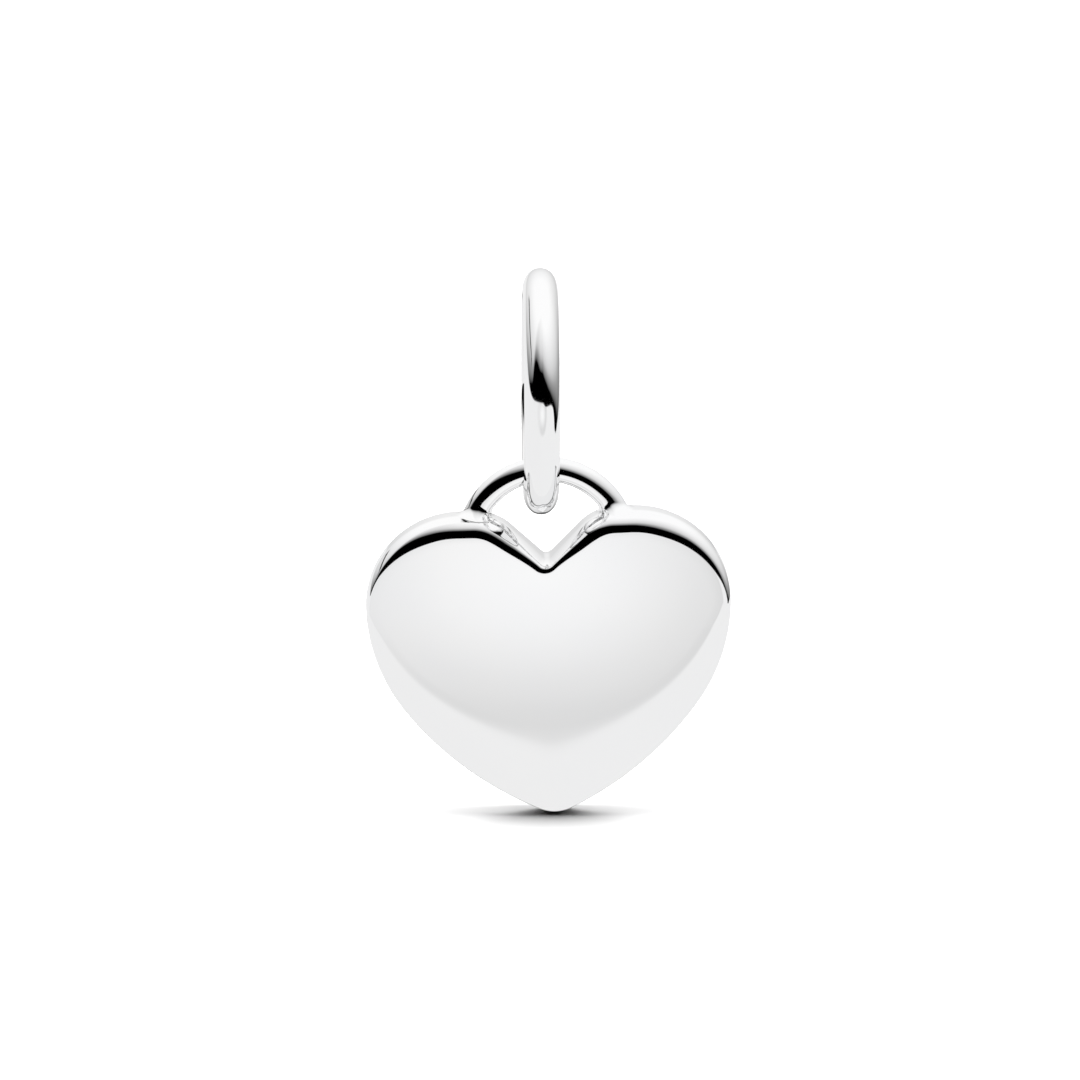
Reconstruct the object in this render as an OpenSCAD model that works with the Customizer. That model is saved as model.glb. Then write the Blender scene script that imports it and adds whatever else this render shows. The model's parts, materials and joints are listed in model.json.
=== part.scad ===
// Heart charm in polished silver: a puffed heart with a cast eye loop, hung on a closed ring bail.
// The bail stands in the YZ plane. The heart faces -Y. The origin is the top of the bail's inside,
// where the chain or bracelet bears.

/* [Bail] */
// Outer diameter of the ring
bail_outer_d = 8.0; // [7.6:0.1:8.4]
// Radial thickness of the ring
bail_thick = 0.92; // [0.9:0.01:0.96]
// Width of the ring along its axis
bail_wide = 1.16; // [1:0.02:1.2]
// How far the ring's section swells on the inside of the ring, less than on the outside
bail_inner_swell = 0.17; // [0.15:0.01:0.3]

/* [Eye loop] */
// Diameter of the loop's round wire
loop_wire_d = 0.81; // [0.74:0.01:0.9]
// Radius of the loop, to the middle of its wire
loop_mid_r = 2.52; // [2.46:0.02:2.6]
// Clearance between the loop's bar and the inside of the bail
loop_gap = 0.08; // [0.06:0.01:0.12]

/* [Heart] */
// Overall width of the heart
heart_wide = 11.86; // [11.6:0.02:12]
// Height from the middle of the eye loop to the tops of the lobes
lobe_top = 1.12; // [1.08:0.02:1.2]
// Radius of the lobes
lobe_r = 3.1; // [3:0.02:3.2]
// Radius of the sides where they are fullest
side_r = 6; // [5.8:0.05:6.2]
// Radius of the flatter sides below, down to the tip
low_side_r = 11; // [10.5:0.1:12]
// Radius of the tip
tip_r = 1.2; // [1:0.05:1.4]
// Depth under the middle of the eye loop where the cleft's two walls would meet
cleft_drop = 0.48; // [0.4:0.01:0.56]
// Thickness through the crown of the faces
heart_thick = 2.3; // [2.1:0.05:2.5]
// Radius of the domed faces
face_dome_r = 40; // [34:1:60]
// Width of the narrow flat rim round the edge
rim_wide = 0.5; // [0.4:0.05:0.6]
// How far the rounded edge reaches in from the outline
edge_reach = 0.6; // [0.5:0.02:0.7]

/* [Hang] */
// Sideways lean of the hanging heart about the bail
heart_lean = 1.9; // [0:0.1:3]
// How far the heart hangs to one side of the bail's middle
heart_aside = 0.11; // [0:0.01:0.13]

/* [Hidden] */

// Bail
bail_outer_r = bail_outer_d / 2;
bail_inner_r = bail_outer_r - bail_thick;
bail_outer_swell = bail_thick - bail_inner_swell;

// Bar of the eye loop, resting over the inside of the bail
loop_wire_r = loop_wire_d / 2;
bar_z = -bail_inner_r - (bail_inner_r - loop_wire_r - loop_gap);

// The loop's two ends run on into the heart's lobes by this angle above level
loop_end = 14;

// Lobes and long sides, in the heart's own plane with the middle of the eye loop at zero
lobe_x = heart_wide / 2 - lobe_r;
lobe_z = lobe_top - lobe_r;
side_from = -3;
side_x = lobe_x + (lobe_r - side_r) * cos(side_from);
side_z = lobe_z + (lobe_r - side_r) * sin(side_from);
side_to = -37;
low_side_x = side_x + (side_r - low_side_r) * cos(side_to);
low_side_z = side_z + (side_r - low_side_r) * sin(side_to);

// Cleft between the lobes, with straight walls that turn over a tighter shoulder into each lobe
wall_slope = 45;
shoulder_r = 1.7;
shoulder_x = (cleft_drop + lobe_top) / tan(wall_slope) + shoulder_r * tan(wall_slope / 2);
shoulder_z = lobe_top - shoulder_r;
cleft_r = 0.16;
cleft_z = -cleft_drop + cleft_r / cos(wall_slope);

// Beside the cleft the rounded edge is narrower, and widens over this distance
cleft_share = 0.45;
cleft_reach = 2.6;

// Rounded edge and domed faces
edge_end = 84;
dome_z = -3.0;

// Steps along each stretch of the outline, over the edge and in to the crown
cleft_steps = 3;
wall_steps = 3;
shoulder_steps = 6;
lobe_steps = 14;
side_steps = 7;
low_side_steps = 9;
tip_steps = 5;
edge_steps = 7;
face_steps = 7;

// Steps round the bail's section and round the turned shapes
section_steps = 9;
ring_sides = 96;
wire_sides = 48;

function smooth(t) = t <= 0 ? 0 : t >= 1 ? 1 : t * t * (3 - 2 * t);

// Share of the edge rounding at a point, smaller beside the cleft
function edge_share(p) = cleft_share
    + (1 - cleft_share) * smooth(norm([p[0], p[1] + cleft_drop]) / cleft_reach);

// A point on an arc, drawn in by d towards the arc's centre
function arc_in(x, z, r, a, d) =
    let (p = [x + r * cos(a), z + r * sin(a)], e = d * edge_share(p))
    [x + (r - e) * cos(a), z + (r - e) * sin(a)];

// Right half of the outline drawn in by d, from the cleft to the tip
function cleft_arc(d) = [
    for (i = [0:cleft_steps])
        let (a = -90 + wall_slope * i / cleft_steps, e = d * cleft_share)
        [(cleft_r + e) * cos(a), cleft_z + (cleft_r + e) * sin(a)]
];
wall_from = cleft_arc(0)[cleft_steps];
wall_to = [shoulder_x - shoulder_r * sin(wall_slope), shoulder_z + shoulder_r * cos(wall_slope)];
function wall(d) = [
    for (i = [1:wall_steps])
        let (p = wall_from + (wall_to - wall_from) * i / (wall_steps + 1), e = d * edge_share(p))
        [p[0] + e * sin(wall_slope), p[1] - e * cos(wall_slope)]
];
function shoulder(d) = [
    for (i = [0:shoulder_steps])
        let (a = 90 + wall_slope * (1 - i / shoulder_steps))
        arc_in(shoulder_x, shoulder_z, shoulder_r, a, d)
];
function lobe(d) = [
    for (i = [0:lobe_steps])
        arc_in(lobe_x, lobe_z, lobe_r, 90 + (side_from - 90) * i / lobe_steps, d)
];
function side(d) = [
    for (i = [1:side_steps])
        arc_in(side_x, side_z, side_r, side_from + (side_to - side_from) * i / side_steps, d)
];
tip_z = low_side_z - sqrt(pow(low_side_r - tip_r, 2) - low_side_x * low_side_x);
tip_from = atan2(tip_z - low_side_z, -low_side_x);
function low_side(d) = [
    for (i = [1:low_side_steps])
        let (a = side_to + (tip_from - side_to) * i / low_side_steps)
        arc_in(low_side_x, low_side_z, low_side_r, a, d)
];
function tip(d) = [
    for (i = [1:tip_steps])
        arc_in(0, tip_z, tip_r, tip_from + (-90 - tip_from) * i / tip_steps, d)
];
function right_half(d) =
    concat(cleft_arc(d), wall(d), shoulder(d), lobe(d), side(d), low_side(d), tip(d));

// Whole closed outline, clockwise as seen from the front
function outline(d) =
    let (h = right_half(d), n = len(h))
    concat(h, [for (i = [n - 2:-1:1]) [-h[i][0], h[i][1]]]);

// Half of the thickness under the domed face
function dome(p) = heart_thick / 2 - (p[0] * p[0] + pow(p[1] - dome_z, 2)) / (2 * face_dome_r);

// Rings of the front half, from the rim over the rounded edge and in to the crown
face_edge = outline(edge_reach);
function edge_ring(i) =
    let (a = edge_end * i / edge_steps, o = outline(edge_reach * (1 - cos(a)) / (1 - cos(edge_end))))
    [for (k = [0:len(o) - 1])
        let (rise = (dome(face_edge[k]) - rim_wide / 2) * sin(a) / sin(edge_end))
        [o[k][0], -rim_wide / 2 - rise, o[k][1]]];
function face_ring(i) =
    let (s = 1 - i / face_steps)
    [for (p = face_edge)
        let (q = [p[0] * s, dome_z + (p[1] - dome_z) * s])
        [q[0], -dome(q), q[1]]];
front_rings = concat(
    [for (i = [face_steps - 1:-1:1]) face_ring(i)],
    [for (i = [edge_steps:-1:0]) edge_ring(i)]
);
back_rings = [
    for (i = [len(front_rings) - 1:-1:0])
        [for (p = front_rings[i]) [p[0], -p[1], p[2]]]
];

module bail() {
    widest_r = bail_inner_r + bail_inner_swell;
    // Each quarter of the section: the angle that it starts from and its swell
    quarters = [
        [90, bail_outer_swell],
        [0, bail_outer_swell],
        [-90, bail_inner_swell],
        [-180, bail_inner_swell]
    ];
    section = [
        for (q = quarters, i = [0:section_steps - 1])
            let (a = q[0] - 90 * i / section_steps)
            [widest_r + q[1] * cos(a), bail_wide / 2 * sin(a)]
    ];
    color("silver")
    translate([0, 0, -bail_inner_r])
    rotate([0, 90, 0])
    rotate_extrude($fn = ring_sides)
    polygon(section);
}

module heart_body() {
    rings = concat(front_rings, back_rings);
    n = len(rings[0]);
    m = len(rings);
    crown = heart_thick / 2;
    points = concat([[0, -crown, dome_z]], [for (r = rings) each r], [[0, crown, dome_z]]);
    faces = concat(
        [for (k = [0:n - 1]) [0, 1 + k, 1 + (k + 1) % n]],
        [for (j = [0:m - 2], k = [0:n - 1])
            let (a = 1 + j * n + k, b = 1 + j * n + (k + 1) % n)
            each [[a, a + n, b], [b, a + n, b + n]]],
        [for (k = [0:n - 1]) [m * n + 1, 1 + (m - 1) * n + (k + 1) % n, 1 + (m - 1) * n + k]]
    );
    polyhedron(points, faces);
}

module eye_loop() {
    rotate([90, 0, 0])
    rotate([0, 0, loop_end])
    rotate_extrude(angle = 180 - 2 * loop_end, $fn = ring_sides)
    translate([loop_mid_r, 0])
    circle(r = loop_wire_r, $fn = wire_sides);
}

module heart() {
    color("silver")
    translate([heart_aside, 0, bar_z])
    rotate([0, -heart_lean, 0])
    translate([0, 0, -loop_mid_r])
    union() {
        heart_body();
        eye_loop();
    }
}

bail();
heart();
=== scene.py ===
# Heart charm in polished silver: a puffed heart with a cast eye loop, hung on a closed ring bail.
import json
import math

import bmesh
import bpy
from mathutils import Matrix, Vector


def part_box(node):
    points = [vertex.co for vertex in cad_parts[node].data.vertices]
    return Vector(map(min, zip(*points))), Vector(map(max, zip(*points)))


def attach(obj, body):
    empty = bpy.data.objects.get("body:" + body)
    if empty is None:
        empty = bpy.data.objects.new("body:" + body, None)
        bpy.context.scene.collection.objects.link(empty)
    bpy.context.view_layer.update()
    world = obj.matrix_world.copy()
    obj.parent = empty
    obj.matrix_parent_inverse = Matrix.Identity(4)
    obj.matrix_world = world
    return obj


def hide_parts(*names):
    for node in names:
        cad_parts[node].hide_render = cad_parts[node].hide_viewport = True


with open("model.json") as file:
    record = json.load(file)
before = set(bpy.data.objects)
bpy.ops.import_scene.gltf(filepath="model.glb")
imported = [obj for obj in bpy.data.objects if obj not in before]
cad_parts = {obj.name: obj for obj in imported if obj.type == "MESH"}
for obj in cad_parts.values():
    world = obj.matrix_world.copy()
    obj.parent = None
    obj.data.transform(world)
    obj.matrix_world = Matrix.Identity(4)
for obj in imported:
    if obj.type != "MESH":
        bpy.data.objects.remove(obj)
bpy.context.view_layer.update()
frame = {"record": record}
mm = 0.001

# Bail: the plain closed ring that slides over a bracelet.
# It is cast in silver with a section that is well rounded outside and nearly flat inside,
# and then tumbled and polished to a mirror.
bail_low, bail_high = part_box("bail")
ring_outer_r = (bail_high[2] - bail_low[2]) / 2
ring_mid_z = (bail_high[2] + bail_low[2]) / 2
ring_wide = bail_high[0] - bail_low[0]
ring_thick = 0.92 * mm
ring_inner_swell = 0.17 * mm
ring_outer_swell = ring_thick - ring_inner_swell
ring_widest_r = ring_outer_r - ring_outer_swell
seam_gap = 0.0005 * mm


def pick(test):
    """Selects the vertices of the mesh in edit mode whose place passes the test, and no others."""
    mesh = bmesh.from_edit_mesh(bpy.context.object.data)
    for vertex in mesh.verts:
        vertex.select = test(vertex.co)
    mesh.select_flush_mode()
    bmesh.update_edit_mesh(bpy.context.object.data)


def close_seams():
    """Merges the doubled vertices of the mesh in edit mode and turns its faces outwards."""
    bpy.ops.mesh.select_all(action="SELECT")
    bpy.ops.mesh.remove_doubles(threshold=seam_gap)
    bpy.ops.mesh.normals_make_consistent(inside=False)


# The section is a square whose corners are rounded so far that they meet, a little fuller than a
# circle. Its outer half is then drawn out and its inner half pressed flat.
corner_steps = 14
corner_fullness = 0.52
ring_steps = 240
section_mid = (0, 0, ring_mid_z + ring_widest_r)
bpy.ops.object.select_all(action="DESELECT")
bpy.ops.mesh.primitive_plane_add(size=ring_wide, location=section_mid, rotation=(math.pi / 2, 0, 0))
bail_ring = bpy.context.object
bail_ring.name = "bail_ring"
bpy.ops.object.transform_apply(location=True, rotation=True, scale=True)
bpy.ops.object.mode_set(mode="EDIT")
bpy.ops.mesh.delete(type="ONLY_FACE")
bpy.ops.mesh.select_all(action="SELECT")
bpy.ops.mesh.bevel(
    affect="VERTICES",
    offset_type="PERCENT",
    offset_pct=50,
    segments=corner_steps,
    profile=corner_fullness,
)
close_seams()
outer_stretch = ring_outer_swell / (ring_wide / 2)
inner_stretch = ring_inner_swell / (ring_wide / 2)
pick(lambda place: place.z > section_mid[2])
bpy.ops.transform.resize(value=(1, 1, outer_stretch), center_override=section_mid)
pick(lambda place: place.z < section_mid[2])
bpy.ops.transform.resize(value=(1, 1, inner_stretch), center_override=section_mid)
bpy.ops.mesh.select_all(action="SELECT")
bpy.ops.mesh.spin(steps=ring_steps, angle=2 * math.pi, center=(0, 0, ring_mid_z), axis=(1, 0, 0))
close_seams()
bpy.ops.object.mode_set(mode="OBJECT")
bpy.ops.object.shade_smooth()

# The silver is bright all over. Its tone, its gloss and the hairlines of polishing vary very little.
silver_cool = (0.945, 0.948, 0.956, 1)
silver_warm = (0.962, 0.961, 0.96, 1)
bloom_scale = 240.0
haze_scale = 900.0
glossiest = 0.035
dullest = 0.065
hairline_scale = 1500.0
hairline_stretch = 14.0
hairline_strength = 0.02
hairline_depth = 0.002 * mm


def polished_silver():
    """Mirror-polished sterling silver, with the faint bloom and hairlines that polishing leaves."""
    silver = bpy.data.materials.new("polished_silver")
    silver.use_nodes = True
    nodes = silver.node_tree.nodes
    links = silver.node_tree.links
    shader = nodes["Principled BSDF"]
    shader.inputs["Metallic"].default_value = 1.0

    place = nodes.new("ShaderNodeTexCoord")
    bloom = nodes.new("ShaderNodeTexNoise")
    bloom.inputs["Scale"].default_value = bloom_scale
    bloom.inputs["Detail"].default_value = 3.0
    links.new(place.outputs["Object"], bloom.inputs["Vector"])
    tone = nodes.new("ShaderNodeValToRGB")
    tone.color_ramp.elements[0].position = 0.3
    tone.color_ramp.elements[0].color = silver_cool
    tone.color_ramp.elements[1].position = 0.7
    tone.color_ramp.elements[1].color = silver_warm
    links.new(bloom.outputs["Fac"], tone.inputs["Fac"])
    links.new(tone.outputs["Color"], shader.inputs["Base Color"])

    haze = nodes.new("ShaderNodeTexNoise")
    haze.inputs["Scale"].default_value = haze_scale
    haze.inputs["Detail"].default_value = 4.0
    links.new(place.outputs["Object"], haze.inputs["Vector"])
    polish = nodes.new("ShaderNodeMapRange")
    polish.inputs["To Min"].default_value = glossiest
    polish.inputs["To Max"].default_value = dullest
    links.new(haze.outputs["Fac"], polish.inputs["Value"])
    links.new(polish.outputs["Result"], shader.inputs["Roughness"])

    strokes = nodes.new("ShaderNodeMapping")
    strokes.inputs["Scale"].default_value = (1.0, 1.0, hairline_stretch)
    strokes.inputs["Rotation"].default_value = (0.2, 0.6, 0.1)
    links.new(place.outputs["Object"], strokes.inputs["Vector"])
    hairlines = nodes.new("ShaderNodeTexNoise")
    hairlines.inputs["Scale"].default_value = hairline_scale
    hairlines.inputs["Detail"].default_value = 2.0
    links.new(strokes.outputs["Vector"], hairlines.inputs["Vector"])
    relief = nodes.new("ShaderNodeBump")
    relief.inputs["Strength"].default_value = hairline_strength
    relief.inputs["Distance"].default_value = hairline_depth
    links.new(hairlines.outputs["Fac"], relief.inputs["Height"])
    links.new(relief.outputs["Normal"], shader.inputs["Normal"])
    return silver


silver = polished_silver()
bail_ring.data.materials.append(silver)
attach(bail_ring, "bail")
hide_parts("bail")

# Heart: a solid heart cast in silver and polished, puffed on both faces, with a narrow rim between
# its rounded edges. The faces are shallow domes that end in a broad roll down to the tip.
# It is modelled with the middle of its eye loop at zero: half the outline, the front, the back.
heart_wide = 11.86 * mm
lobe_top = 1.12 * mm
lobe_r = 3.1 * mm
lobe_x = heart_wide / 2 - lobe_r
lobe_z = lobe_top - lobe_r
side_r = 6.0 * mm
side_from = math.radians(-3)
side_x = lobe_x + (lobe_r - side_r) * math.cos(side_from)
side_z = lobe_z + (lobe_r - side_r) * math.sin(side_from)
low_side_r = 11.0 * mm
side_to = math.radians(-37)
low_side_x = side_x + (side_r - low_side_r) * math.cos(side_to)
low_side_z = side_z + (side_r - low_side_r) * math.sin(side_to)
tip_r = 1.2 * mm
tip_z = low_side_z - math.sqrt((low_side_r - tip_r) ** 2 - low_side_x**2)
tip_from = math.atan2(tip_z - low_side_z, -low_side_x)
cleft_drop = 0.48 * mm
cleft_r = 0.16 * mm
cleft_z = -cleft_drop + cleft_r * math.sqrt(2)
wall_slope = math.radians(45)
shoulder_r = 1.7 * mm
shoulder_x = cleft_drop + lobe_top + shoulder_r * math.tan(wall_slope / 2)
shoulder_z = lobe_top - shoulder_r

lobe_sides = 120
side_steps = 18
low_side_steps = 30
tip_steps = 8
shoulder_steps = 12
wall_steps = 12
cleft_steps = 5
bpy.ops.object.select_all(action="DESELECT")
bpy.ops.mesh.primitive_circle_add(
    vertices=lobe_sides,
    radius=lobe_r,
    location=(lobe_x, 0, lobe_z),
    rotation=(math.pi / 2, 0, 0),
)
heart = bpy.context.object
heart.name = "puffed_heart"
bpy.ops.object.transform_apply(location=True, rotation=True, scale=True)
bpy.ops.object.mode_set(mode="EDIT")


def turn(place):
    """Angle of a point about the middle of the lobe."""
    return math.atan2(place.z - lobe_z, place.x - lobe_x)


def spin_about(x, z, angle, steps):
    """Goes on from the selected end along an arc round a point, as seen from the front."""
    bpy.ops.mesh.spin(steps=steps, angle=angle, center=(x, 0, z), axis=(0, 1, 0))


little = math.radians(0.5)
pick(lambda place: not side_from - little < turn(place) < math.pi / 2 + little)
bpy.ops.mesh.delete(type="VERT")

# From the low end of the lobe go on the side, the flatter side below it and the tip
pick(lambda place: abs(turn(place) - side_from) < little)
spin_about(side_x, side_z, side_to - side_from, side_steps)
spin_about(low_side_x, low_side_z, tip_from - side_to, low_side_steps)
spin_about(0, tip_z, -math.pi / 2 - tip_from, tip_steps)

# From its top go on the shoulder, the straight wall and the bottom of the cleft
wall_long = math.hypot(
    shoulder_x - shoulder_r * math.sin(wall_slope) - cleft_r * math.sin(wall_slope),
    shoulder_z + shoulder_r * math.cos(wall_slope) - cleft_z + cleft_r * math.cos(wall_slope),
)
pick(lambda place: abs(turn(place) - math.pi / 2) < little and place.z > 0)
bpy.ops.mesh.extrude_vertices_move(TRANSFORM_OT_translate={"value": (shoulder_x - lobe_x, 0, 0)})
spin_about(shoulder_x, shoulder_z, wall_slope, shoulder_steps)
wall_step = (
    -wall_long / wall_steps * math.cos(wall_slope),
    0,
    -wall_long / wall_steps * math.sin(wall_slope),
)
for step in range(wall_steps):
    bpy.ops.mesh.extrude_vertices_move(TRANSFORM_OT_translate={"value": wall_step})
spin_about(0, cleft_z, -wall_slope, cleft_steps)
mirror_gap = 0.001 * mm


def mirror_over(axes):
    """Mirrors the finished half over the planes through zero and merges the middle."""
    shape = bpy.context.object
    bpy.ops.object.mode_set(mode="OBJECT")
    bpy.ops.object.modifier_add(type="MIRROR")
    mirror = shape.modifiers[-1]
    mirror.use_axis = axes
    mirror.merge_threshold = mirror_gap
    bpy.ops.object.modifier_apply(modifier=mirror.name)
    bpy.ops.object.mode_set(mode="EDIT")
    close_seams()


mirror_over((True, False, False))

# The faces are domes about the crown. Above they end at the rounded edge, which reaches in from the
# outline less at the sides and beside the cleft. Below they end on a circle, short of the outline.
crown_front = 1.15 * mm
crown_z = -3.0 * mm
crown = Vector((0, -crown_front, crown_z))
dome_r = 40 * mm
round_mid = Vector((0, 0, 0.35 * mm))
round_r = 6.15 * mm
edge_reach = 0.62 * mm
side_reach = 0.22 * mm
full_reach_from = math.radians(74)
face_aside = 0.08 * mm
cleft_share = 0.54
cleft_reach = 2.0 * mm
rim_half = 0.25 * mm
roll = 0.03


def ease(t):
    """Goes smoothly from 0 to 1."""
    t = min(max(t, 0), 1)
    return t * t * (3 - 2 * t)


def dome_y(place):
    """Front of the domed face at a point."""
    across = Vector((place.x - crown.x, 0, place.z - crown.z))
    return crown.y + across.length_squared / (2 * dome_r)


def places_in_order():
    """The places of the outline, once round from the tip."""
    mesh = bmesh.from_edit_mesh(heart.data)
    here = min(mesh.verts, key=lambda vertex: vertex.co.z)
    places = [here.co.copy()]
    walked = here.link_edges[0]
    while True:
        here = walked.other_vert(here)
        if here.co == places[0]:
            return places
        places.append(here.co.copy())
        walked = next(edge for edge in here.link_edges if edge is not walked)


outline = places_in_order()
outward = []
for k, place in enumerate(outline):
    before = outline[k - 1]
    after = outline[(k + 1) % len(outline)]
    along = (place - before).normalized() + (after - place).normalized()
    outward.append(Vector((-along.z, 0, along.x)).normalized())
if outward[0].z > 0:
    outward = [-direction for direction in outward]

face_edge = []
for place, direction in zip(outline, outward):
    from_cleft = ease((place - Vector((0, 0, -cleft_drop))).length / cleft_reach)
    off_side = 1.0 if abs(place.x) < lobe_x else ease(math.asin(direction.z) / full_reach_from)
    reach = edge_reach * (cleft_share + (1 - cleft_share) * from_cleft)
    reach = side_reach + (reach - side_reach) * off_side
    to_round = (place - round_mid).length - round_r
    inward = -direction
    if place.z < lobe_z and to_round > reach:
        share = ease((to_round - reach) / edge_reach)
        inward = inward.lerp((round_mid - place).normalized(), share).normalized()
        reach = to_round
    point = place + inward * reach - Vector((face_aside, 0, 0))
    face_edge.append(Vector((point.x, dome_y(point), point.z)))


keys_a_metre = 1e8


def key(place):
    """Names a place, so that a vertex can be found again after an extrusion."""
    return tuple(round(side * keys_a_metre) for side in place)


def extrude_to(old_ring, new_ring):
    """Extrudes the selected ring and moves each new vertex to its own place."""
    bpy.ops.mesh.extrude_edges_move()
    where = {key(old): new for old, new in zip(old_ring, new_ring)}
    mesh = bmesh.from_edit_mesh(heart.data)
    for vertex in mesh.verts:
        if vertex.select:
            vertex.co = where[key(vertex.co)]
    bmesh.update_edit_mesh(heart.data)


bpy.ops.mesh.select_all(action="SELECT")
rim = [Vector((place.x, -rim_half, place.z)) for place in outline]
extrude_to(outline, rim)

# Off the rim the edge is a quarter of an ellipse. Along the lobes and in the cleft it ends in
# a softer roll on to the face, and the shorter its reach, the more upright is the rest.
round_steps = 18
roll_steps = 7
roll_r = 1.1 * mm
roll_tilt = math.radians(21.5)
most_roll = 0.7
low_roll_share = 0.5
upper_from = -1.2 * mm
upper_over = 1.8 * mm


def edge_line(start, end):
    """The places over the edge, from the rim to where the face begins."""
    rise = start.y - end.y
    reach = math.hypot(end.x - start.x, end.z - start.z)
    upper = ease((start.z - lobe_z - upper_from) / upper_over)
    dome_slope = math.hypot(end.x - crown.x, end.z - crown.z) / dome_r
    face_tilt = math.atan(dome_slope + roll * (low_roll_share + (1 - low_roll_share) * upper))
    tilt = face_tilt + (roll_tilt - face_tilt) * upper
    soft_r = min(roll_r, most_roll * reach / math.sin(roll_tilt))
    round_in = reach - soft_r * (math.sin(tilt) - math.sin(face_tilt))
    round_up = rise - soft_r * (math.cos(face_tilt) - math.cos(tilt))
    flat = math.tan(tilt) * round_in / round_up
    finish = math.acos(flat / (1 - flat))
    steps = []
    for step in range(1, round_steps + 1):
        angle = finish * step / round_steps
        inward = round_in * (1 - math.cos(angle)) / (1 - math.cos(finish))
        steps.append((inward, round_up * math.sin(angle) / math.sin(finish)))
    for step in range(1, roll_steps + 1):
        angle = tilt + (face_tilt - tilt) * step / roll_steps
        inward = round_in + soft_r * (math.sin(tilt) - math.sin(angle))
        steps.append((inward, round_up + soft_r * (math.cos(angle) - math.cos(tilt))))
    line = []
    for inward, up in steps:
        place = start.lerp(end, inward / reach)
        line.append(Vector((place.x, start.y - up, place.z)))
    return line


# The edge is drawn out ring by ring
edge_lines = [edge_line(start, end) for start, end in zip(rim, face_edge)]
ring = rim
for step in range(round_steps + roll_steps):
    wider = [line[step] for line in edge_lines]
    extrude_to(ring, wider)
    ring = wider

# Drawn in by s towards the crown, a dome's ring comes up by s squared, and so stays on the dome
face_steps = 18
for step in range(face_steps):
    bpy.ops.mesh.extrude_edges_move()
    s = (face_steps - 1 - step) / (face_steps - step)
    bpy.ops.transform.resize(value=(s, s * s, s), center_override=crown)
close_seams()
mirror_over((False, True, False))
bpy.ops.object.mode_set(mode="OBJECT")

# Eye loop: a stout wire cast with the heart, whose feet spread into the lobes in small fillets.
# Its section is fuller towards the outside. The free wire is that section spun over the top, and
# each of its lines then curves on to the heart.
loop_mid_r = 2.52 * mm
wire_r = 0.405 * mm
ridge_r = 2.33 * mm
wire_sides = 56
free_steps = 18
free_to = math.radians(52)
bpy.ops.object.select_all(action="DESELECT")
bpy.ops.mesh.primitive_circle_add(
    vertices=wire_sides,
    radius=wire_r,
    location=(0, 0, ridge_r),
    rotation=(0, math.pi / 2, 0),
)
loop = bpy.context.object
loop.name = "eye_loop"
bpy.ops.object.transform_apply(location=True, rotation=True, scale=True)
bpy.ops.object.mode_set(mode="EDIT")
ridge = (0, 0, ridge_r)
outer_share = (loop_mid_r + wire_r - ridge_r) / wire_r
inner_share = (ridge_r - loop_mid_r + wire_r) / wire_r
pick(lambda place: place.z > ridge_r)
bpy.ops.transform.resize(value=(1, 1, outer_share), center_override=ridge)
pick(lambda place: place.z < ridge_r)
bpy.ops.transform.resize(value=(1, 1, inner_share), center_override=ridge)
bpy.ops.mesh.select_all(action="SELECT")
spin_about(0, 0, free_to - math.pi / 2, free_steps)

foot_front = 0.38 * mm
foot_outside = 0.24 * mm
foot_inside = 0.28 * mm
foot_fullness = 0.6
foot_bite = 0.001 * mm
arc_steps = 6
foot_steps = 12
search_step = math.radians(0.1)
root_below = math.radians(12)
root_share = 0.5


def wire_point(line_r, y, angle):
    """A point on one line of the wire, at an angle above level."""
    return Vector((line_r * math.cos(angle), y, line_r * math.sin(angle)))


def foot_line(start):
    """The places down one line of the wire, from the free wire to the foot's edge on the heart."""
    line_r = math.hypot(start.x, start.z)
    angle = free_to
    inside = False
    while not inside:
        angle -= search_step
        place = wire_point(line_r, start.y, angle)
        spot, normal = heart.closest_point_on_mesh(place)[1:3]
        inside = (place - spot).dot(normal) < 0
    off_axis = place - wire_point(loop_mid_r, 0, angle)
    off_middle = (line_r - loop_mid_r) / wire_r
    widest = foot_outside if off_middle > 0 else foot_inside
    spread = foot_front + (widest - foot_front) * abs(off_middle)
    sideways = (off_axis - normal * off_axis.dot(normal)).normalized()
    top_angle = angle + spread / line_r
    top = wire_point(line_r, start.y, top_angle)
    bottom, bottom_normal = heart.closest_point_on_mesh(place + sideways * spread)[1:3]
    away = bottom - place
    away = (away - bottom_normal * away.dot(bottom_normal)).normalized()
    under_top = top.lerp(place, foot_fullness)
    before_bottom = bottom - away * foot_fullness * spread
    line = []
    for step in range(1, arc_steps + 1):
        down_arc = free_to + (top_angle - free_to) * step / arc_steps
        line.append(wire_point(line_r, start.y, down_arc))
    for step in range(1, foot_steps + 1):
        t = step / foot_steps
        place_on = top * (1 - t) ** 3 + under_top * 3 * t * (1 - t) ** 2
        line.append(place_on + before_bottom * 3 * t * t * (1 - t) + bottom * t**3)
    line[-1] = bottom - bottom_normal * foot_bite
    root = wire_point(loop_mid_r, 0, angle - root_below)
    line.append(bottom.lerp(root, root_share))
    return line


mesh = bmesh.from_edit_mesh(loop.data)
end_ring = [vertex.co.copy() for vertex in mesh.verts if vertex.select]
lines = {key(place): foot_line(place) for place in end_ring}
where = {key(place): place for place in end_ring}
for step in range(arc_steps + foot_steps + 1):
    bpy.ops.mesh.extrude_edges_move()
    mesh = bmesh.from_edit_mesh(loop.data)
    moved = {}
    for vertex in mesh.verts:
        if vertex.select:
            name = where[key(vertex.co)]
            line = lines[key(name)]
            vertex.co = line[step]
            moved[key(vertex.co)] = name
    where = moved
    bmesh.update_edit_mesh(loop.data)
bpy.ops.mesh.edge_face_add()
close_seams()
mirror_over((True, False, False))
bpy.ops.object.mode_set(mode="OBJECT")

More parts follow.
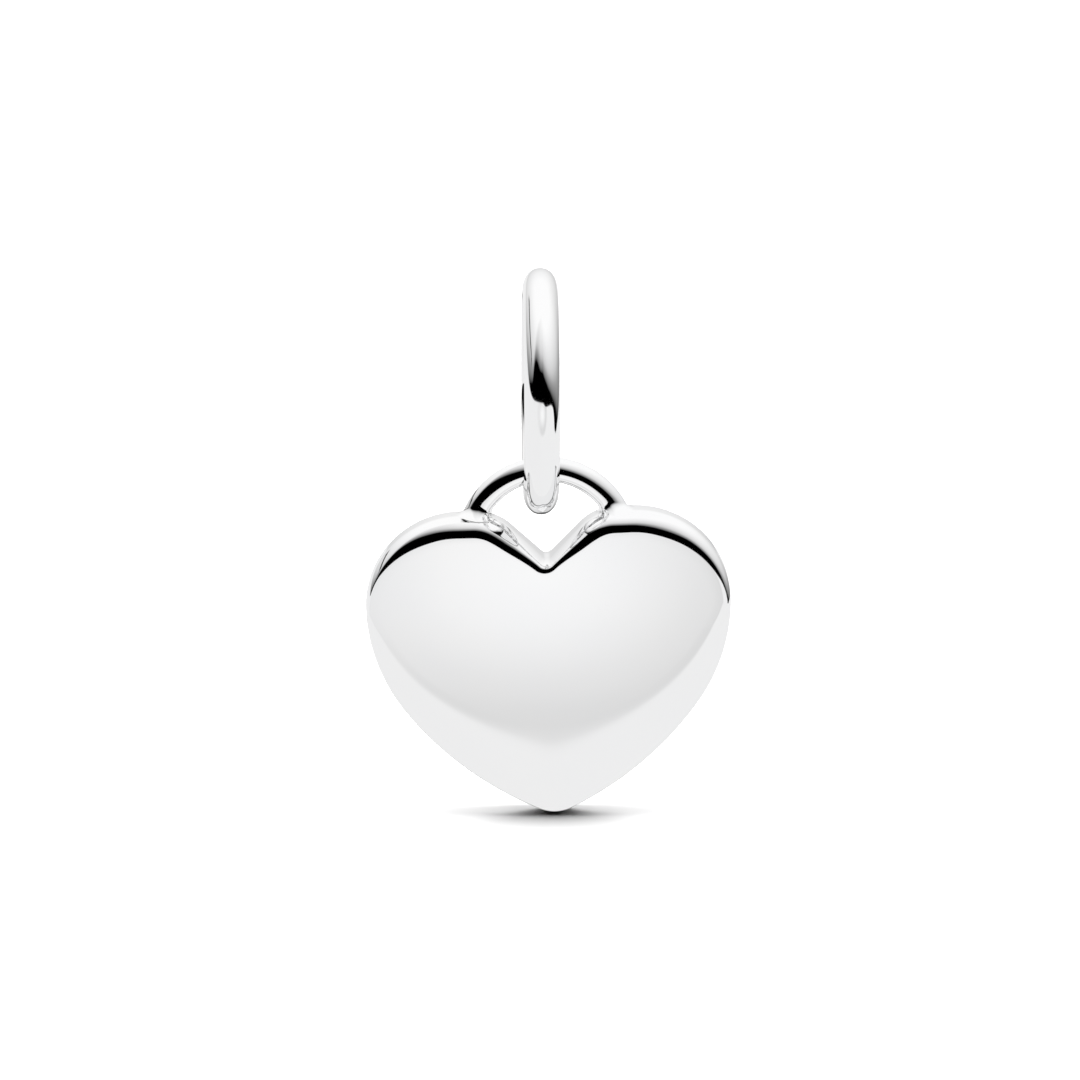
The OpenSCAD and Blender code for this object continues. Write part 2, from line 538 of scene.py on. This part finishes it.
# The loop and the heart are one casting
bpy.ops.object.select_all(action="DESELECT")
bpy.context.view_layer.objects.active = heart
heart.select_set(True)
bpy.ops.object.modifier_add(type="BOOLEAN")
fuse = heart.modifiers[-1]
fuse.operation = "UNION"
fuse.object = loop
bpy.ops.object.modifier_apply(modifier=fuse.name)
bpy.data.objects.remove(loop)
bpy.ops.object.shade_smooth()

# The heart hangs on its loop with a slight lean, a little to one side of the bail's middle
swing_place = Vector(frame["record"]["behaviour"]["joints"][0]["pos_m"])
heart_lean = math.radians(1.9)
heart_aside = 0.11 * mm
heart.rotation_euler = (0, -heart_lean, 0)
heart.location = swing_place + Vector(
    (heart_aside + loop_mid_r * math.sin(heart_lean), 0, -loop_mid_r * math.cos(heart_lean))
)
bpy.ops.object.transform_apply(location=True, rotation=True, scale=True)
heart.data.materials.append(silver)
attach(heart, "heart")
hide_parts("heart")

# Studio: a wide table of matt white paper on which the tip just rests, under two long soft lamps.
# The metal mirrors a room that is drawn in the world, and the lamps light the table alone.
heart_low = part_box("heart")[0]
table_wide = 4.0
paper_dark = (0.86, 0.86, 0.86, 1)
paper_light = (0.88, 0.88, 0.88, 1)
bpy.ops.object.select_all(action="DESELECT")
bpy.ops.mesh.primitive_plane_add(size=table_wide, location=(0, 0, heart_low[2]))
table = bpy.context.object
table.name = "pale_table"
bpy.ops.object.transform_apply(location=True, rotation=True, scale=True)
table.visible_glossy = False
paper = bpy.data.materials.new("white_paper")
paper.use_nodes = True
paper_shader = paper.node_tree.nodes["Principled BSDF"]
paper_shader.inputs["Roughness"].default_value = 0.9
paper_shader.inputs["Specular IOR Level"].default_value = 0.0
paper_place = paper.node_tree.nodes.new("ShaderNodeTexCoord")
paper_grain = paper.node_tree.nodes.new("ShaderNodeTexNoise")
paper_grain.inputs["Scale"].default_value = 60.0
paper_tone = paper.node_tree.nodes.new("ShaderNodeValToRGB")
paper_tone.color_ramp.elements[0].color = paper_dark
paper_tone.color_ramp.elements[1].color = paper_light
paper.node_tree.links.new(paper_place.outputs["Object"], paper_grain.inputs["Vector"])
paper.node_tree.links.new(paper_grain.outputs["Fac"], paper_tone.inputs["Fac"])
paper.node_tree.links.new(paper_tone.outputs["Color"], paper_shader.inputs["Base Color"])
table.data.materials.append(paper)
lamp_up = 1.0


def strip_lamp(name, across, deep, behind, power):
    """Hangs a long soft lamp level over the table, for the table alone."""
    bpy.ops.object.light_add(type="AREA", location=(0, behind, heart_low[2] + lamp_up))
    lamp = bpy.context.object
    lamp.name = name
    lamp.data.shape = "RECTANGLE"
    lamp.data.size = across
    lamp.data.size_y = deep
    lamp.data.energy = power
    lamp.visible_camera = False
    lamp.visible_glossy = False


strip_lamp("top_lamp", across=2.4, deep=0.36, behind=0.06, power=25.5)
strip_lamp("back_lamp", across=6.0, deep=1.4, behind=1.8, power=240.0)

world = bpy.data.worlds.new("studio")
bpy.context.scene.world = world
world.use_nodes = True
room_nodes = world.node_tree.nodes
room_links = world.node_tree.links


def sum_of(kind, first, second=None):
    """One Math node of the world, fed by numbers or by other nodes' outputs."""
    node = room_nodes.new("ShaderNodeMath")
    node.operation = kind
    for socket, value in zip(node.inputs, (first, second)):
        if value is None:
            continue
        if isinstance(value, (int, float)):
            socket.default_value = value
        else:
            room_links.new(value, socket)
    return node.outputs[0]


def smooth_step(value, low, high, bottom, top, way="SMOOTHSTEP"):
    """Goes from bottom to top as the value goes from low to high."""
    node = room_nodes.new("ShaderNodeMapRange")
    node.interpolation_type = way
    room_links.new(value, node.inputs["Value"])
    node.inputs["From Min"].default_value = low
    node.inputs["From Max"].default_value = high
    for name, side in (("To Min", bottom), ("To Max", top)):
        if isinstance(side, (int, float)):
            node.inputs[name].default_value = side
        else:
            room_links.new(side, node.inputs[name])
    return node.outputs["Result"]


looking = room_nodes.new("ShaderNodeTexCoord")
apart = room_nodes.new("ShaderNodeSeparateXYZ")
room_links.new(looking.outputs["Generated"], apart.inputs["Vector"])
in_degrees = 180 / math.pi
height = sum_of("MULTIPLY", sum_of("ARCSINE", apart.outputs["Z"]), in_degrees)
ahead = sum_of("MULTIPLY", apart.outputs["Y"], -1)
turned = sum_of("MULTIPLY", sum_of("ARCTAN2", apart.outputs["X"], ahead), in_degrees)


def drawn(value, points):
    """Follows a smooth curve drawn through the points, from the first to the last."""
    first, last = points[0][0], points[-1][0]
    lowest = min(result for place, result in points)
    highest = max(result for place, result in points)
    share = smooth_step(value, first, last, 0.0, 1.0, "LINEAR")
    node = room_nodes.new("ShaderNodeFloatCurve")
    curve = node.mapping.curves[0]
    curve.points[0].location = (0, (points[0][1] - lowest) / (highest - lowest))
    curve.points[1].location = (1, (points[-1][1] - lowest) / (highest - lowest))
    for place, result in points[1:-1]:
        curve.points.new((place - first) / (last - first), (result - lowest) / (highest - lowest))
    node.mapping.update()
    room_links.new(share, node.inputs["Value"])
    return smooth_step(node.outputs["Value"], 0.0, 1.0, lowest, highest, "LINEAR")


# Between the table and the soft boxes overhead lies the dark of the room. Its lower and upper
# heights are drawn by the way one turns, in degrees, from the camera at 0 to the right.
dark_from = drawn(
    turned,
    (
        (-180, -3),
        (-150, -2),
        (-120, -1),
        (-90, -1),
        (-60, 0.5),
        (-40, 2),
        (-15, 3),
        (0, 3),
        (20, -1),
        (45, -2),
        (60, -3),
        (72, -5),
        (82, -8),
        (92, -14),
        (102, -19),
        (112, -18),
        (122, -15),
        (150, -11),
        (180, -3),
    ),
)
dark_to = drawn(
    turned,
    (
        (-180, -22),
        (-160, -22),
        (-140, -14),
        (-118, -5),
        (-90, 4),
        (-78, 8),
        (-66, 24),
        (-54, 33),
        (-40, 35),
        (-24, 33),
        (-10, 31),
        (0, 30.5),
        (6, 29),
        (14, 25),
        (30, 18),
        (45, 11),
        (60, 5),
        (75, -1),
        (100, -9),
        (120, -14),
        (140, -16),
        (160, -22),
        (180, -22),
    ),
)
overhead_glow = drawn(
    sum_of("SUBTRACT", height, dark_to),
    (
        (0, 0),
        (5, 0.22),
        (9, 0.34),
        (13, 0.5),
        (17, 0.63),
        (25, 0.77),
        (33, 0.855),
        (45, 0.95),
        (60, 1.02),
    ),
)

# A thin dark rail runs along the left of the room, and fades out at both ends
rail_half = 2.0
rail_soft = 1.0
rail_dark = 0.97
rail_at = drawn(
    turned,
    (
        (-180, 10),
        (-148, 12),
        (-135, 17),
        (-115, 19),
        (-100, 19),
        (-90, 16),
        (-80, 14),
    ),
)
rail_near_end = smooth_step(turned, -92.0, -84.0, 1.0, 0.0)
rail_far_end = smooth_step(turned, -146.0, -136.0, 0.0, 1.0)
rail_ends = sum_of("MULTIPLY", rail_near_end, rail_far_end)
off_rail = sum_of("ABSOLUTE", sum_of("SUBTRACT", height, rail_at))
rail_depth = smooth_step(off_rail, rail_half - rail_soft, rail_half + rail_soft, rail_dark, 0.0)
rail = sum_of("MULTIPLY", rail_depth, rail_ends)
overhead_glow = sum_of("MULTIPLY", overhead_glow, sum_of("SUBTRACT", 1.0, rail))

# The table as the metal sees it: lightest low in front, within a darker ring that ends softly
spot_height = -8.0
spot_up = 17.0
spot_left = 30.0
spot_right = 24.0
spot_seam = 2.0
spot_wide = smooth_step(turned, -spot_seam, spot_seam, spot_left, spot_right, "LINEAR")
spot_x = sum_of("DIVIDE", turned, spot_wide)
spot_y = sum_of("DIVIDE", sum_of("SUBTRACT", height, spot_height), spot_up)
spot_x_square = sum_of("MULTIPLY", spot_x, spot_x)
spot_y_square = sum_of("MULTIPLY", spot_y, spot_y)
spot_away = sum_of("SQRT", sum_of("ADD", spot_x_square, spot_y_square))
spot_glow = drawn(
    spot_away,
    (
        (0, 0.99),
        (0.24, 0.96),
        (0.47, 0.89),
        (0.7, 0.8),
        (0.94, 0.74),
        (1.1, 0.765),
        (1.3, 0.885),
        (1.5, 0.895),
    ),
)

# To the left the ring is paler, and more like the open table
left_glow = 0.885
paler_share = 0.65
paler_left = smooth_step(turned, -26.0, -6.0, paler_share, 0.0)
table_glow = smooth_step(paler_left, 0.0, 1.0, spot_glow, left_glow, "LINEAR")

# Low behind the charm the table lies in shade
shade_glow = 0.16
behind = smooth_step(sum_of("ABSOLUTE", turned), 148.0, 176.0, 0.0, 1.0)
shade_low = smooth_step(height, -64.0, -38.0, 0.0, 1.0)
shade_high = smooth_step(height, -26.0, -12.0, 1.0, 0.0)
shade = sum_of("MULTIPLY", behind, sum_of("MULTIPLY", shade_low, shade_high))
table_glow = smooth_step(shade, 0.0, 1.0, table_glow, shade_glow, "LINEAR")

# The table ends in a slightly soft line against the dark
table_end_soft = 0.7
over_dark = sum_of("SUBTRACT", height, dark_from)
over_table = smooth_step(over_dark, -table_end_soft, table_end_soft, 0.0, 1.0)
room = smooth_step(over_table, 0.0, 1.0, table_glow, overhead_glow, "LINEAR")

# The picture's background is plain white, and the table is left to its own lamps
rays = room_nodes.new("ShaderNodeLightPath")
for_table = smooth_step(rays.outputs["Diffuse Depth"], 0.0, 1.0, room, 0.0, "LINEAR")
seen = smooth_step(rays.outputs["Is Camera Ray"], 0.0, 1.0, for_table, 1.0, "LINEAR")
room_light = room_nodes["Background"]
room_links.new(seen, room_light.inputs["Color"])
room_light.inputs["Strength"].default_value = 1.0

# Camera: a long lens, a little above the charm and looking down on it. It aims below the middle of
# the bail, so that the whole charm stands in the middle of the picture.
camera_height = math.radians(14.5)
camera_aside = math.radians(-1.0)
frame_wide = 34.95 * mm
lens = 500.0
sensor = 36.0
distance = frame_wide * lens / sensor
aim_below = 4.817 * mm
aim_left = 0.016 * mm
back = Vector(
    (
        math.sin(camera_aside) * math.cos(camera_height),
        -math.cos(camera_aside) * math.cos(camera_height),
        math.sin(camera_height),
    )
)
right = Vector((math.cos(camera_aside), math.sin(camera_aside), 0))
upward = back.cross(right)
target = Vector((0, 0, ring_mid_z)) - upward * aim_below - right * aim_left
bpy.ops.object.camera_add(location=target + back * distance)
camera = bpy.context.object
camera.rotation_euler = back.to_track_quat("Z", "Y").to_euler()
camera.data.lens = lens
camera.data.sensor_width = sensor
camera.data.clip_start = 0.01
camera.data.clip_end = 20.0
bpy.context.scene.camera = camera
bpy.context.scene.view_settings.view_transform = "Standard"
